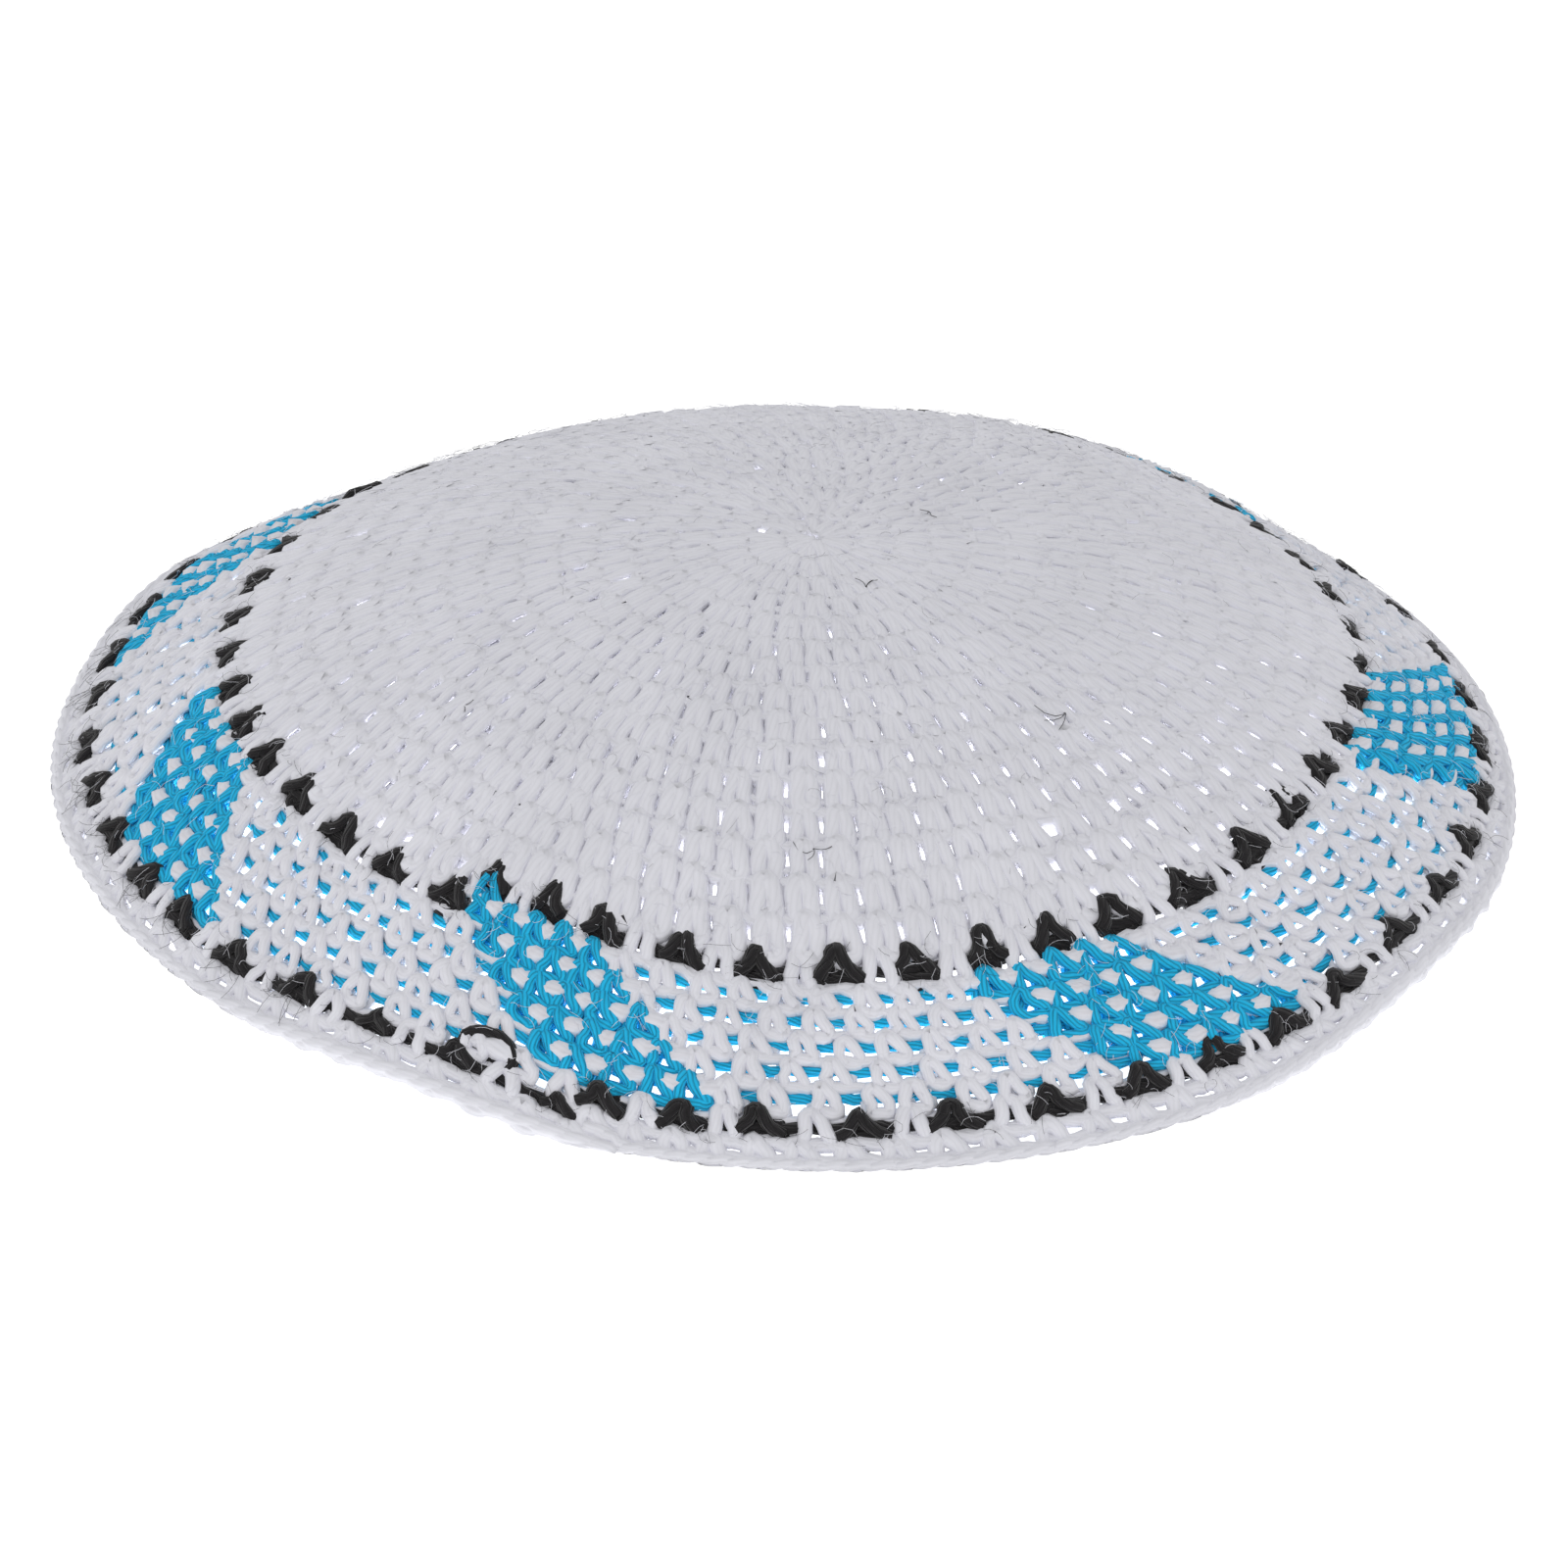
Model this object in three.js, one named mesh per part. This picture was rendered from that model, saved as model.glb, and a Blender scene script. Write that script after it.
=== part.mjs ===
// Round crocheted skullcap (kippah): a shallow dome of single crochet worked in rounds from the
// crown's centre to the rim, with a patterned border. Millimetres, +Z up, rim resting on z = 0.
import * as THREE from 'three';

// Sizes
const RIM_RADIUS = 95;        // crown centre line to the rim's outer edge
const CROWN_HEIGHT = 34.1;    // outer face of the crown above the surface the rim rests on
const WALL = 2.6;             // thickness of the crocheted fabric
const RIM_WALL = 1.5;         // thickness of the last round at the rim
const RIM_TAPER = 95;         // arc length where the fabric starts to thin towards the rim
const RIM_FLAT = 2.4;         // width of the flat end that the rim rests on
const GAP = 0.3;              // clearance between neighbouring groups of rounds
const STITCHES = 96;          // stitches in every round of the border
const BORDER_ROUNDS = 5;      // rounds between the two dashed rounds
const ROUND_LEAN = 2.8;       // degrees that each round's stitches lean along the round

// Meridian profile: height falls off with powers of q = (r / RIM_RADIUS)^2.
const PROFILE = { square: 0.681, fourth: 0.447 };
const CROWN_SHIFT_X = 1.95;   // the crown's centre sits a little off the rim's centre

// Out-of-round of the rim as a share of the radius.
const OUT_OF_ROUND = [
  { order: 2, cosine: 0.0053, sine: -0.0014 },
  { order: 3, cosine: -0.0103, sine: 0.0115 },
];

// Arches where the soft rim lifts off the surface; between them it lies flat.
const RIM_ARCHES = [
  { angle: 63, halfWidth: 25, height: 2.6 },
  { angle: 153, halfWidth: 20, height: 2.5 },
  { angle: 240, halfWidth: 24, height: 2.8 },
  { angle: 327, halfWidth: 28, height: 3.4 },
];

// Arc lengths from the crown's centre along the meridian, where one group of rounds ends.
const CROWN_RINGS = [7, 16, 25, 34, 43, 52, 60, 67];
const CROWN_END = 73.8;
const INNER_DASH_END = 78.2;
const BORDER_END = 95.7;
const OUTER_DASH_END = 99.1;

// Waves of the rounds along the meridian; the step near 598 degrees is where a round ends beside
// its own start.
const ROUND_WAVES = [
  { angle: 238.5, inner: -2.0, outer: -0.9 },
  { angle: 244, inner: -1.4, outer: -0.6 },
  { angle: 257, inner: -0.2, outer: 0.1 },
  { angle: 271, inner: 1.3, outer: 0.0 },
  { angle: 284, inner: 1.1, outer: -0.8 },
  { angle: 299, inner: -0.4, outer: 0.2 },
  { angle: 314, inner: 0.6, outer: 0.3 },
  { angle: 328, inner: -0.8, outer: -0.4 },
  { angle: 342, inner: -2.1, outer: -0.1 },
  { angle: 356, inner: -0.8, outer: 0.6 },
  { angle: 370, inner: 1.0, outer: 0.9 },
  { angle: 392, inner: 0.3, outer: 0.4 },
  { angle: 450, inner: 0.0, outer: 0.0 },
  { angle: 505, inner: 0.2, outer: 0.6 },
  { angle: 524, inner: 0.6, outer: 0.4 },
  { angle: 540, inner: 0.1, outer: 0.0 },
  { angle: 568, inner: -0.3, outer: 0.0 },
  { angle: 583, inner: 0.8, outer: -0.3 },
  { angle: 592, inner: 1.6, outer: 0.2 },
  { angle: 598.5, inner: 2.0, outer: 0.8 },
];

// Blue blocks: first stitch, number of stitches, and the angles of their first round's two ends.
const BLUE_BLOCKS = [
  { name: 'blue_block_1', stitch: 0, count: 5, from: 238.5, to: 254 },
  { name: 'blue_block_2', stitch: 14, count: 5, from: 287.5, to: 304.5 },
  { name: 'blue_block_3', stitch: 28, count: 5, from: 345, to: 366 },
  { name: 'blue_block_4', stitch: 42, count: 5, from: 399, to: 417 },
  { name: 'blue_block_5', stitch: 56, count: 5, from: 452, to: 470 },
  { name: 'blue_block_6', stitch: 70, count: 5, from: 503, to: 520.5 },
  { name: 'blue_block_7', stitch: 82, count: 5, from: 547, to: 565 },
];
const LAST_ANGLE = 598.5;     // the last stitch of a round meets the first one, a full turn on

const WHITE = new THREE.Color(0.60, 0.60, 0.65);
const BLACK = new THREE.Color(0.016, 0.015, 0.017);
const BLUE = new THREE.Color(0.012, 0.38, 0.79);

function interpolate(table, key, value, x) {
  const last = table.length - 1;
  let i = 0;
  while (i < last - 1 && table[i + 1][key] <= x) {
    i += 1;
  }
  const a = table[i];
  const b = table[i + 1];
  const t = Math.min(1, Math.max(0, (x - a[key]) / (b[key] - a[key])));
  return a[value] + t * (b[value] - a[value]);
}

// Angle of a stitch's edge in the first border round, from the ends of the blue blocks.
const STITCH_ANGLES = BLUE_BLOCKS.flatMap((b) => [
  { stitch: b.stitch, angle: b.from },
  { stitch: b.stitch + b.count, angle: b.to },
]).concat([{ stitch: STITCHES, angle: LAST_ANGLE }]);

function stitchAngle(stitch) {
  const turns = Math.floor(stitch / STITCHES);
  const within = stitch - turns * STITCHES;
  return interpolate(STITCH_ANGLES, 'stitch', 'angle', within) + 360 * turns;
}

function roundWave(side, degrees) {
  const first = ROUND_WAVES[0].angle;
  const within = ((degrees - first) % 360 + 360) % 360;
  return interpolate(ROUND_WAVES, 'angle', side, first + within);
}

function profileHeight(r) {
  const q = (r / RIM_RADIUS) ** 2;
  const { square, fourth } = PROFILE;
  return CROWN_HEIGHT * (1 - square * q - fourth * q * q - (1 - square - fourth) * q ** 3);
}

// Radius at an arc length along the meridian, from a table of small steps.
const ARC = [{ s: 0, r: 0 }];
for (let i = 1; i <= 400; i += 1) {
  const r = (RIM_RADIUS * i) / 400;
  const before = ARC[i - 1];
  const rise = profileHeight(r) - profileHeight(before.r);
  ARC.push({ s: before.s + Math.hypot(r - before.r, rise), r });
}
const RIM_ARC = ARC[400].s;

function rimArch(degrees) {
  let lift = 0;
  for (const arch of RIM_ARCHES) {
    const away = Math.abs(((degrees - arch.angle + 540) % 360 + 360) % 360 - 180);
    if (away < arch.halfWidth) {
      lift += arch.height * Math.cos((Math.PI / 2) * (away / arch.halfWidth)) ** 2;
    }
  }
  return lift;
}

// Point of the outer face at arc length s and an angle counted counterclockwise from +X.
function outerPoint(s, degrees) {
  const r = interpolate(ARC, 's', 'r', s);
  const share = r / RIM_RADIUS;
  const angle = THREE.MathUtils.degToRad(degrees);
  let stretch = 1;
  for (const { order, cosine, sine } of OUT_OF_ROUND) {
    stretch += share * (cosine * Math.cos(order * angle) + sine * Math.sin(order * angle));
  }
  return new THREE.Vector3(
    r * stretch * Math.cos(angle) + CROWN_SHIFT_X * (1 - share * share),
    r * stretch * Math.sin(angle),
    profileHeight(r) + rimArch(degrees) * share ** 3,
  );
}

function wallAt(s) {
  const share = Math.min(1, Math.max(0, (s - RIM_TAPER) / (RIM_ARC - RIM_TAPER)));
  return WALL + share * (RIM_WALL - WALL);
}

// Point of the inner face: the outer point moved inwards along the surface normal.
function innerPoint(s, degrees) {
  const at = Math.min(Math.max(s, 1), RIM_ARC - 0.5);
  const along = outerPoint(at + 0.5, degrees).sub(outerPoint(at - 0.5, degrees));
  const across = outerPoint(at, degrees + 0.5).sub(outerPoint(at, degrees - 0.5));
  const normal = along.cross(across).normalize();
  if (s < 1e-6) {
    normal.set(0, 0, 1);
  }
  return outerPoint(s, degrees).addScaledVector(normal, -wallAt(s));
}

// Inner edge of the rim, level with its outer edge so that the rim's end is flat.
function innerRimPoint(degrees) {
  const rim = outerPoint(RIM_ARC, degrees);
  const share = 1 - RIM_FLAT / Math.hypot(rim.x, rim.y);
  return new THREE.Vector3(rim.x * share, rim.y * share, rim.z);
}

// Arc length of a lattice line: 0 is the crown's edge, 1 the end of the inner dashed round, then
// the border's rounds, and the last two the ends of the outer dashed round and the rim.
function lineArc(line, degrees) {
  const inner = roundWave('inner', degrees);
  const outer = roundWave('outer', degrees);
  if (line === 0) {
    return CROWN_END + inner;
  }
  if (line <= BORDER_ROUNDS + 1) {
    const share = (line - 1) / BORDER_ROUNDS;
    const start = INNER_DASH_END + inner;
    return start + share * (BORDER_END + outer - start);
  }
  return line === BORDER_ROUNDS + 2 ? OUTER_DASH_END + outer : RIM_ARC;
}
const RIM_LINE = BORDER_ROUNDS + 3;

// Lattice vertex: a line and a stitch edge, with insets that leave the clearance gap.
function latticePoint(line, stitch, insetAlong, insetAcross) {
  let degrees = stitchAngle(stitch) + ROUND_LEAN * (line - 1);
  const s = lineArc(line, degrees) + insetAlong;
  const radius = interpolate(ARC, 's', 'r', s);
  degrees += THREE.MathUtils.radToDeg(insetAcross / radius);
  const outer = outerPoint(s, degrees);
  const inner = line === RIM_LINE ? innerRimPoint(degrees) : innerPoint(s, degrees);
  return { outer, inner };
}

// Closed body between the outer and inner faces of a grid of point pairs.
function wallBody(grid, closedRound, pole) {
  const positions = [];
  const indices = [];
  const rows = grid.length;
  const columns = grid[0].length;
  for (const row of grid) {
    for (const { outer, inner } of row) {
      positions.push(outer.x, outer.y, outer.z, inner.x, inner.y, inner.z);
    }
  }
  const out = (k, i) => 2 * (k * columns + (i % columns));
  const inn = (k, i) => out(k, i) + 1;
  const quad = (a, b, c, d) => {
    indices.push(a, b, c, a, c, d);
  };
  const spans = closedRound ? columns : columns - 1;
  for (let i = 0; i < spans; i += 1) {
    for (let k = 0; k < rows - 1; k += 1) {
      quad(out(k, i), out(k + 1, i), out(k + 1, i + 1), out(k, i + 1));
      quad(inn(k, i), inn(k, i + 1), inn(k + 1, i + 1), inn(k + 1, i));
    }
    quad(out(rows - 1, i), inn(rows - 1, i), inn(rows - 1, i + 1), out(rows - 1, i + 1));
    if (!pole) {
      quad(out(0, i), out(0, i + 1), inn(0, i + 1), inn(0, i));
    }
  }
  if (pole) {
    const top = positions.length / 3;
    positions.push(pole.outer.x, pole.outer.y, pole.outer.z);
    positions.push(pole.inner.x, pole.inner.y, pole.inner.z);
    for (let i = 0; i < columns; i += 1) {
      indices.push(top, out(0, i), out(0, i + 1));
      indices.push(top + 1, inn(0, i + 1), inn(0, i));
    }
  }
  if (!closedRound) {
    const end = columns - 1;
    for (let k = 0; k < rows - 1; k += 1) {
      quad(out(k, 0), inn(k, 0), inn(k + 1, 0), out(k + 1, 0));
      quad(out(k, end), out(k + 1, end), inn(k + 1, end), inn(k, end));
    }
  }
  const geometry = new THREE.BufferGeometry();
  geometry.setAttribute('position', new THREE.Float32BufferAttribute(positions, 3));
  geometry.setIndex(indices);
  geometry.computeVertexNormals();
  return geometry;
}

// Crown: rings of rising arc length and, outermost, the line where the dashed round starts.
function crownGeometry() {
  const columns = Array.from({ length: STITCHES }, (_, i) => i);
  const grid = CROWN_RINGS.map((s) => columns.map((i) => {
    const degrees = stitchAngle(i) - ROUND_LEAN;
    return { outer: outerPoint(s, degrees), inner: innerPoint(s, degrees) };
  }));
  grid.push(columns.map((i) => latticePoint(0, i, -GAP / 2, 0)));
  const pole = { outer: outerPoint(0, 0), inner: innerPoint(0, 0) };
  return wallBody(grid, true, pole);
}

// Full ring between two lattice lines.
function ringGeometry(first, last) {
  const columns = Array.from({ length: STITCHES }, (_, i) => i);
  const grid = [];
  for (let line = first; line <= last; line += 1) {
    const inset = line === first ? GAP / 2 : line === last && last !== RIM_LINE ? -GAP / 2 : 0;
    grid.push(columns.map((i) => latticePoint(line, i, inset, 0)));
  }
  return wallBody(grid, true, null);
}

// Slanted panel of the border between two stitch edges.
function panelGeometry(from, to) {
  const grid = [];
  for (let line = 1; line <= BORDER_ROUNDS + 1; line += 1) {
    const along = line === 1 ? GAP / 2 : line === BORDER_ROUNDS + 1 ? -GAP / 2 : 0;
    const row = [];
    for (let i = from; i <= to; i += 1) {
      const across = i === from ? GAP / 2 : i === to ? -GAP / 2 : 0;
      row.push(latticePoint(line, i, along, across));
    }
    grid.push(row);
  }
  return wallBody(grid, false, null);
}

function yarnMesh(name, geometry, color) {
  const material = new THREE.MeshStandardMaterial({ color, roughness: 0.9, metalness: 0 });
  const mesh = new THREE.Mesh(geometry, material);
  mesh.name = name;
  return mesh;
}

const group = new THREE.Group();
group.name = 'skullcap';
group.add(yarnMesh('crown', crownGeometry(), WHITE));
group.add(yarnMesh('inner_dash_round', ringGeometry(0, 1), BLACK));
BLUE_BLOCKS.forEach((block, i) => {
  const end = block.stitch + block.count;
  const next = i + 1 < BLUE_BLOCKS.length ? BLUE_BLOCKS[i + 1].stitch : STITCHES;
  group.add(yarnMesh(block.name, panelGeometry(block.stitch, end), BLUE));
  group.add(yarnMesh(`white_field_${i + 1}`, panelGeometry(end, next), WHITE));
});
group.add(yarnMesh('outer_dash_round', ringGeometry(BORDER_ROUNDS + 1, BORDER_ROUNDS + 2), BLACK));
group.add(yarnMesh('edge_round', ringGeometry(BORDER_ROUNDS + 2, RIM_LINE), WHITE));

// The origin is the middle of the cap's footprint, at the level the rim rests on.
const box = new THREE.Box3().setFromObject(group);
for (const mesh of group.children) {
  mesh.geometry.translate(-(box.min.x + box.max.x) / 2, -(box.min.y + box.max.y) / 2, 0);
}

export default group;
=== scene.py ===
"""Crocheted skullcap: every stitch is a looped strand of plied yarn, set round by round on the dome."""
import math
from collections import namedtuple

import bpy
import numpy as np
from bpy.props import FloatProperty, FloatVectorProperty, IntProperty, PointerProperty
from mathutils import Matrix


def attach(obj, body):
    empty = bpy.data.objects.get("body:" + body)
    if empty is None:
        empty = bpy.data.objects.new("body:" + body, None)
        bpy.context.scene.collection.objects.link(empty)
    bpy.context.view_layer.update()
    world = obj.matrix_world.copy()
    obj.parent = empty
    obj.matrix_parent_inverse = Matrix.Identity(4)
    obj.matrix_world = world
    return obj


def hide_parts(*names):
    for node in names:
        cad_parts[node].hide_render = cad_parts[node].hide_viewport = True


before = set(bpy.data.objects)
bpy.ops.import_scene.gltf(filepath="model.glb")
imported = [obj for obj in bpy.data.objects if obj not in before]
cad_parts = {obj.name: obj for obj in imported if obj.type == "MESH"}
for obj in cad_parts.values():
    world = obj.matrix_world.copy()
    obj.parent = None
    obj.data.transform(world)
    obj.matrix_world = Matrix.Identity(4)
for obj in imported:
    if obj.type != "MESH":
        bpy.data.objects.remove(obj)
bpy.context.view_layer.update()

bl_info = {
    "name": "Crocheted skullcap",
    "version": (1, 0, 0),
    "blender": (4, 5, 0),
    "location": "View3D > Sidebar > Skullcap",
    "description": "Builds a skullcap of crocheted yarn, stitch by stitch",
    "category": "Add Mesh",
}

MM = 0.001

# Dome, in millimetres and degrees, with angles counted counterclockwise from +X.
RIM_RADIUS = 95.0
CROWN_HEIGHT = 34.1
PROFILE_SQUARE = 0.681
PROFILE_FOURTH = 0.447
CROWN_SHIFT_X = 1.95

# Out of round: order, cosine and sine share of the radius.
OUT_OF_ROUND = ((2, 0.0053, -0.0014), (3, -0.0103, 0.0115))

# Arches of the rim: angle, half width in degrees, height.
RIM_ARCHES = ((63, 25, 2.6), (153, 20, 2.5), (240, 24, 2.8), (327, 28, 3.4))

# Steps of the meridian's arc length, and how far past the rim they go.
ARC_STEPS = 1600
ARC_PAST_RIM = 1.05

# Half steps, in mm and degrees, that give the cloth's normal, and the least arc lengths of it and of a point.
NORMAL_STEP = 0.4
NORMAL_FROM = 2.0
POINT_FROM = 0.05

# Stitches of a border round, the angle of the seam, and the lean from round to round in degrees and stitches.
STITCHES = 96
SEAM_ANGLE = 238.5
ROUND_LEAN = 2.8
LEAN_STITCHES = 0.8

# Crown: rounds, the ring at its centre in rounds, stitches that each round is turned on by, and the round
# from which it takes on the waves of the border.
CROWN_ROUNDS = 15
CENTRE_RING = 0.2
CROWN_STAGGER = 0.7
WAVY_FROM = 8

# Border rounds, counted from the last crown round.
INNER_DASH = 1
OUTER_DASH = 7
EDGE_LINE = 8
BLOCK_LINES = range(INNER_DASH + 1, OUTER_DASH)

# Tops of the rounds from the last crown rounds outwards: number, arc length from the crown's centre, and
# how far the round follows the waves of the inner and of the outer dashed round.
ROUND_TOPS = np.array([
    (-1, 68.95, 1.0, 0.0), (0, 73.8, 1.0, 0.0), (1, 78.2, 1.0, 0.0), (2, 81.7, 0.8, 0.2),
    (3, 85.2, 0.6, 0.4), (4, 88.7, 0.4, 0.6), (5, 92.2, 0.2, 0.8), (6, 95.7, 0.0, 1.0),
    (7, 99.1, 0.0, 1.0), (8, 103.2, 0.0, 0.0), (9, 106.7, 0.0, 0.0),
])
LINES, LINE_ARC, LINE_INNER, LINE_OUTER = ROUND_TOPS.T
CROWN_END = np.interp(0, LINES, LINE_ARC)

# Waves of the rounds: stitch, shift of the inner dashed round, shift of the outer one.
WAVES = np.array([
    (0.0, -2.0, -0.3), (1.5, -1.4, 0.1), (5.5, -0.2, 0.1), (9.5, 1.3, -0.5), (13, 1.1, -0.4),
    (17.5, -0.4, 0.4), (21, 0.6, -0.3), (24.5, -0.8, -0.3), (27.5, -2.1, 0.3), (31, -0.8, 0.8),
    (35, 1.0, 0.6), (41, 0.3, 0.2), (56, 0.0, 0.0), (71, 0.2, 0.6), (76, 0.6, 0.2), (80, 0.1, 0.0),
    (88, -0.3, -0.3), (91.5, 0.8, 0.1), (94, 1.6, 1.2), (96, 2.0, 3.1),
])

# Blue blocks: first stitch, stitches, and the angles of the ends of their first round.
BLOCKS = (
    (0, 5, SEAM_ANGLE, 254.0), (14, 5, 287.5, 304.5), (28, 5, 345.0, 366.0), (42, 5, 399.0, 417.0),
    (56, 5, 452.0, 470.0), (70, 5, 503.0, 520.5), (82, 5, 547.0, 565.0),
)
COLUMN_ANGLE = np.array([(c + d * n, a + d * (b - a)) for c, n, a, b in BLOCKS for d in (0, 1)]
                        + [(STITCHES, SEAM_ANGLE + 360 + ROUND_LEAN)])

# Crown pieces: name, first round, last round, CAD node that the piece stands for.
CROWN_PIECES = (
    ("crown_top_rounds", 1, 9, ("crown",)),
    ("crown_middle_rounds", 10, 12, ()),
    ("crown_side_rounds", 13, 15, ()),
)

# Shares of the crown yarn's thickness at two of its rounds, and the rounds at its centre without holes.
CROWN_THICK_ROUNDS = (9, CROWN_ROUNDS)
CROWN_THICK_SHARE = (0.90, 1.08)
CLOSED_ROUNDS = 4

# Points along and round the strands: a stitch's front and back, a carried strand and the rim's rope per
# stitch, a loose fibre; and the fewest points along a carried strand.
FRONT_SAMPLES, FRONT_SIDES = 20, 6
BACK_SAMPLES, BACK_SIDES = 10, 5
CARRIED_SAMPLES, CARRIED_SIDES = 5, 5
CARRIED_LEAST = 6
ROPE_SAMPLES, ROPE_SIDES = 8, 6
FIBRE_SAMPLES, FIBRE_SIDES = 5, 3

# Start of each strand's plies along the yarn, in mm, which differs from strand to strand.
PLY_STEP, PLY_REPEAT = 7.3, 97.0

# Margin of a strand in its square of the bake map, and the place and size of its end caps there.
CELL_EDGE = 0.04
CELL_CAPS = (0.02, 0.98)
CELL_CAP_RADIUS = 0.015

# One stitch as a closed strand: along the round in stitches, outwards in rounds, height in mm.
CROWN_LOOP = np.array([
    (0.03, 0.05, -0.90), (-0.09, 0.17, -0.70), (-0.10, 0.45, -0.65), (-0.10, 0.76, -0.71),
    (-0.08, 1.00, -0.87), (0.04, 1.12, -0.97), (0.16, 1.14, -0.97), (0.28, 1.12, -0.97),
    (0.38, 1.00, -0.87), (0.34, 0.76, -0.71), (0.26, 0.45, -0.65), (0.14, 0.17, -0.70),
])
FIELD_LOOP = np.array([
    (0.04, 0.10, -0.92), (-0.04, 0.20, -0.74), (-0.05, 0.46, -0.70), (-0.05, 0.74, -0.76),
    (-0.03, 0.97, -0.92), (0.06, 1.08, -1.02), (0.19, 1.10, -1.02), (0.32, 1.08, -1.02),
    (0.42, 0.97, -0.92), (0.36, 0.74, -0.76), (0.24, 0.46, -0.70), (0.13, 0.20, -0.74),
])
BLUE_LOOP = np.array([
    (0.03, -0.06, -1.00), (-0.06, 0.05, -0.80), (-0.06, 0.40, -0.72), (-0.05, 0.72, -0.80),
    (0.00, 0.90, -1.00), (0.20, 0.95, -1.10), (0.42, 0.96, -1.10), (0.60, 0.95, -1.05),
    (0.69, 0.86, -0.95), (0.50, 0.62, -0.78), (0.29, 0.36, -0.72), (0.12, 0.05, -0.80),
])
BACK_LOOP = np.array([
    (-0.04, 0.24, -1.85), (0.15, 0.16, -1.90), (0.34, 0.24, -1.85), (0.38, 0.55, -1.85),
    (0.40, 0.92, -1.75), (0.18, 1.02, -1.70), (-0.06, 0.92, -1.75), (-0.08, 0.55, -1.85),
])
DASH_LOOP = np.array([
    (0.08, -0.12, -0.80), (-0.04, 0.02, -0.55), (-0.10, 0.32, -0.55), (-0.24, 0.62, -0.65),
    (-0.42, 0.84, -0.95), (-0.20, 0.78, -1.50), (0.15, 0.72, -1.70), (0.50, 0.78, -1.50),
    (0.76, 0.87, -0.95), (0.48, 0.62, -0.65), (0.28, 0.32, -0.55), (0.18, 0.02, -0.55),
])
START_LOOP = np.array([
    (0.04, -0.08, -0.60), (-0.26, 0.02, -0.60), (-0.48, 0.30, -0.65), (-0.56, 0.62, -0.90),
    (-0.36, 0.80, -1.50), (0.00, 0.82, -1.70), (0.36, 0.92, -1.50), (0.58, 1.02, -0.90),
    (0.62, 0.70, -0.65), (0.52, 0.32, -0.60), (0.34, 0.06, -0.60), (0.20, -0.06, -0.60),
])
PLAIN_LOOP = np.array([
    (0.08, -0.05, -1.05), (-0.05, 0.06, -0.75), (-0.06, 0.36, -0.62), (-0.08, 0.70, -0.64),
    (-0.12, 1.02, -0.95), (0.04, 1.16, -1.10), (0.20, 1.18, -1.05), (0.36, 1.16, -1.10),
    (0.46, 1.02, -0.95), (0.38, 0.70, -0.64), (0.30, 0.36, -0.62), (0.22, 0.06, -0.75),
])

# Kinds of stitch: the loop, the strand's height as a share of its width, how much stitches differ, how much
# fuller the strand is at top and bottom, and the radius in mm, 0 for none, and width of the strand behind.
Stitch = namedtuple("Stitch", "loop flat spread full back wide")
CROWN_STITCH = Stitch(CROWN_LOOP, 0.60, 0.90, 0.10, 0.74, 1.0)
DASH_STITCH = Stitch(DASH_LOOP, 0.75, 1.8, 0.0, 0.9, 1.0)
LAST_DASH_STITCH = Stitch(DASH_LOOP * (0.7, 0.7, 1) + (0.05, 0.15, -0.1), 0.75, 1.8, 0.0, 0.8, 1.0)
START_STITCH = Stitch(START_LOOP, 0.8, 0.5, 0.0, 0, 1.0)
PLAIN_STITCH = Stitch(PLAIN_LOOP, 0.65, 1.2, 0.0, 0.65, 1.0)
BLUE_STITCH = Stitch(BLUE_LOOP, 0.8, 1.2, 0.0, 0.85, 1.25)
LOOSE_BLUE_STITCH = Stitch(BLUE_LOOP * (1.3, 1.0, 1) + (-0.1, -0.55, 0.3), 0.9, 0.5, 0.0, 0, 1.0)
FIELD_STITCH = Stitch(FIELD_LOOP, 0.65, 1.2, 0.10, 0.65, 1.0)
EDGE_STITCH = Stitch(FIELD_LOOP * (1.15, 0.80, 1) + (0, 0, -0.15), 0.6, 0.9, 0.14, 0, 1.0)

# Spread of hand work: of a whole stitch and of each point of its loop, along, outwards and in height.
STITCH_SPREAD = (0.05, 0.04, 0.06)
POINT_SPREAD = (0.025, 0.025, 0.07)
THICKNESS_SPREAD = 0.06

# Strands carried inside a round: radius in mm, place from the round below (0) to the top (1), sway of
# that place, height in mm, swell between stitches, and how far past their first and last column the
# strand starts and ends, in stitches.
Carried = namedtuple("Carried", "radius place sway height swell first last")
CROWN_FOOT = Carried(1.05, 0.15, 0.05, -1.30, 0.1, 0, 0)
CROWN_CLOSING = Carried(1.10, 0.65, 0.05, -1.50, 0.1, 0, 1)
CROWN_HEAD = Carried(0.68, 0.78, 0.06, -1.25, 0.1, 0, 0)
DASH_BLACK = Carried(0.85, 0.55, 0.05, -1.45, 0.1, 0.3, -0.5)
DASH_WHITE = Carried(0.8, 0.25, 0.05, -1.85, 0.1, 0.3, -0.5)
DASH_CHAIN = Carried(0.74, 1.14, 0.14, -1.15, 0.2, 0.2, -0.4)
START_WHITE = Carried(1.2, 0.5, 0.0, -1.0, 0.3, 0, 0)
BLOCK_WHITE = Carried(1.06, 0.24, 0.16, -1.35, 0.50, 0.1, 0.4)
FIELD_BLUE = Carried(0.70, 0.42, 0.02, -1.70, 0.1, -0.2, 0.2)
FIELD_WHITE = Carried(0.70, 0.05, 0.04, -1.30, 0.1, -0.1, 0.1)
EDGE_FOOT = Carried(0.80, 0.12, 0.05, -1.2, 0.15, 0, -0.1)
EDGE_HEAD = Carried(0.95, 0.64, 0.05, -1.25, 0.15, 0, -0.1)

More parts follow.
